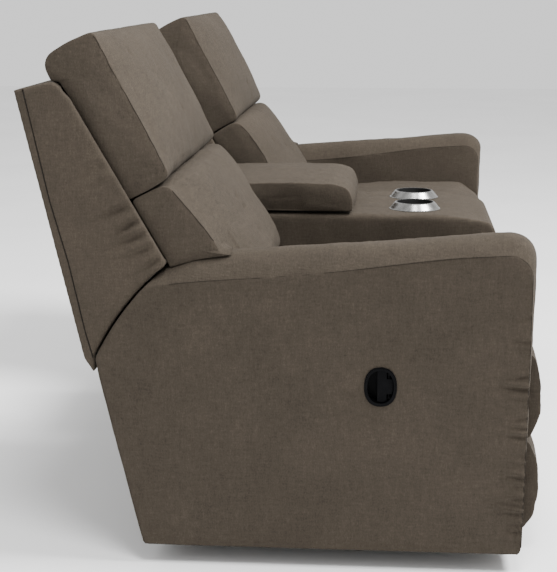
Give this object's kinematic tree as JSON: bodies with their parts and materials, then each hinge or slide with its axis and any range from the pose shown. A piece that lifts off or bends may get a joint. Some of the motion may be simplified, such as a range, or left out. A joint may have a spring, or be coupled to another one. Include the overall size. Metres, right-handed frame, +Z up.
{
  "type": "reclining loveseat",
  "caption": "Two-seat reclining sofa with padded backs, folding leg rests, and a centre console with lift-up lid and cup wells.",
  "frame": {"origin": "middle of the footprint on the floor (centre of the bounding box, at its bottom)", "axes": "+X to the sitter's left across the width, -Y to the front that the sitters face, +Z up"},
  "size_m": [1.938, 0.9839, 1.0028],
  "materials": {
    "upholstery": "woven taupe-brown upholstery",
    "upholstery_outside": "the same woven cloth on the outside panels",
    "timber": "sawn hardwood and plywood",
    "mechanism_steel": "zinc plated pressed steel",
    "spring_steel": "oiled spring wire",
    "handle_plastic": "satin black moulding",
    "paddle_plastic": "matt black moulding",
    "cable_sleeve": "black cable sleeve",
    "foot_plastic": "black plastic",
    "bin_plastic": "black moulded bin",
    "cup_plastic": "black cup liner",
    "cup_steel": "satin stainless steel"
  },
  "bodies": {
    "root": {"right_arm_frame": "timber", "right_arm_cover": "upholstery", "right_handle_bezel": "handle_plastic", "right_release_cable": "cable_sleeve", "right_side_plates": "mechanism_steel", "right_seat_frame": "timber", "right_seat_springs": "spring_steel", "right_seat_cushion": "upholstery", "right_rear_apron": "upholstery_outside", "left_arm_frame": "timber", "left_arm_cover": "upholstery", "left_handle_bezel": "handle_plastic", "left_release_cable": "cable_sleeve", "left_side_plates": "mechanism_steel", "left_seat_frame": "timber", "left_seat_springs": "spring_steel", "left_seat_cushion": "upholstery", "left_rear_apron": "upholstery_outside", "base_rails": "timber", "feet": "foot_plastic", "console_frame": "timber", "console_cover": "upholstery", "storage_bin": "bin_plastic", "cup_wells": "cup_plastic", "cup_rims": "cup_steel", "lid_hinge_base": "mechanism_steel"},
    "right_back": {"right_back_frame": "timber", "right_back_brackets": "mechanism_steel", "right_back_shell": "upholstery_outside", "right_headrest": "upholstery", "right_lumbar_cushion": "upholstery"},
    "left_back": {"left_back_frame": "timber", "left_back_brackets": "mechanism_steel", "left_back_shell": "upholstery_outside", "left_headrest": "upholstery", "left_lumbar_cushion": "upholstery"},
    "right_drive": {"right_drive_links": "mechanism_steel"},
    "right_front": {"right_front_links": "mechanism_steel"},
    "right_lift": {"right_lift_links": "mechanism_steel"},
    "right_top": {"right_top_links": "mechanism_steel"},
    "right_footrest": {"right_footrest_brackets": "mechanism_steel", "right_footrest_board": "timber", "right_upper_pad": "upholstery", "right_lower_pad": "upholstery"},
    "left_drive": {"left_drive_links": "mechanism_steel"},
    "left_front": {"left_front_links": "mechanism_steel"},
    "left_lift": {"left_lift_links": "mechanism_steel"},
    "left_top": {"left_top_links": "mechanism_steel"},
    "left_footrest": {"left_footrest_brackets": "mechanism_steel", "left_footrest_board": "timber", "left_upper_pad": "upholstery", "left_lower_pad": "upholstery"},
    "lid": {"lid_board": "timber", "lid_pad": "upholstery", "lid_hinge_leaf": "mechanism_steel"},
    "right_paddle": {"right_release_paddle": "paddle_plastic"},
    "left_paddle": {"left_release_paddle": "paddle_plastic"}
  },
  "joints": [
    {"name": "right_recline", "type": "hinge", "parent": "root", "child": "right_back", "pos_m": [-0.526, 0.19, 0.32], "axis": [-1, 0, 0], "range_deg": [0, 30]},
    {"name": "right_legrest", "type": "hinge", "parent": "root", "child": "right_drive", "pos_m": [-0.526, -0.25, 0.27], "axis": [-1, 0, 0], "range_deg": [0, 48.9]},
    {"name": "right_front_link", "type": "hinge", "parent": "right_drive", "child": "right_front", "pos_m": [-0.526, -0.37738, 0.06072], "axis": [-1, 0, 0], "range_deg": [-86.9, 0]},
    {"name": "right_footrest_tilt", "type": "hinge", "parent": "right_front", "child": "right_footrest", "pos_m": [-0.526, -0.43, 0.3], "axis": [-1, 0, 0], "range_deg": [0, 126]},
    {"name": "right_lift_link", "type": "hinge", "parent": "right_drive", "child": "right_lift", "pos_m": [-0.526, -0.30199, 0.18458], "axis": [-1, 0, 0], "range_deg": [-100.5, 0]},
    {"name": "right_top_link", "type": "hinge", "parent": "right_lift", "child": "right_top", "pos_m": [-0.526, -0.27921, 0.35305], "axis": [-1, 0, 0], "range_deg": [0, 51]},
    {"name": "left_recline", "type": "hinge", "parent": "root", "child": "left_back", "pos_m": [0.526, 0.19, 0.32], "axis": [-1, 0, 0], "range_deg": [0, 30]},
    {"name": "left_legrest", "type": "hinge", "parent": "root", "child": "left_drive", "pos_m": [0.526, -0.25, 0.27], "axis": [-1, 0, 0], "range_deg": [0, 48.9]},
    {"name": "left_front_link", "type": "hinge", "parent": "left_drive", "child": "left_front", "pos_m": [0.526, -0.37738, 0.06072], "axis": [-1, 0, 0], "range_deg": [-86.9, 0]},
    {"name": "left_footrest_tilt", "type": "hinge", "parent": "left_front", "child": "left_footrest", "pos_m": [0.526, -0.43, 0.3], "axis": [-1, 0, 0], "range_deg": [0, 126]},
    {"name": "left_lift_link", "type": "hinge", "parent": "left_drive", "child": "left_lift", "pos_m": [0.526, -0.30199, 0.18458], "axis": [-1, 0, 0], "range_deg": [-100.5, 0]},
    {"name": "left_top_link", "type": "hinge", "parent": "left_lift", "child": "left_top", "pos_m": [0.526, -0.27921, 0.35305], "axis": [-1, 0, 0], "range_deg": [0, 51]},
    {"name": "lid_hinge", "type": "hinge", "parent": "root", "child": "lid", "pos_m": [0, 0.238, 0.5693], "axis": [-1, 0, 0], "range_deg": [0, 85]},
    {"name": "right_release", "type": "hinge", "parent": "root", "child": "right_paddle", "pos_m": [-0.959, -0.199, 0.361], "axis": [0, 0, 1], "range_deg": [0, 25], "stiffness_Nm_per_rad": 0.3},
    {"name": "left_release", "type": "hinge", "parent": "root", "child": "left_paddle", "pos_m": [0.959, -0.199, 0.361], "axis": [0, 0, -1], "range_deg": [0, 25], "stiffness_Nm_per_rad": 0.3}
  ],
  "couplings": [
    {"joint": "right_front_link", "follows": "right_legrest", "ratio": -1.7748},
    {"joint": "right_footrest_tilt", "follows": "right_legrest", "ratio": 2.5732},
    {"joint": "right_lift_link", "follows": "right_legrest", "ratio": -2.0525},
    {"joint": "right_top_link", "follows": "right_legrest", "ratio": 1.0403},
    {"joint": "left_front_link", "follows": "left_legrest", "ratio": -1.7748},
    {"joint": "left_footrest_tilt", "follows": "left_legrest", "ratio": 2.5732},
    {"joint": "left_lift_link", "follows": "left_legrest", "ratio": -2.0525},
    {"joint": "left_top_link", "follows": "left_legrest", "ratio": 1.0403}
  ]
}
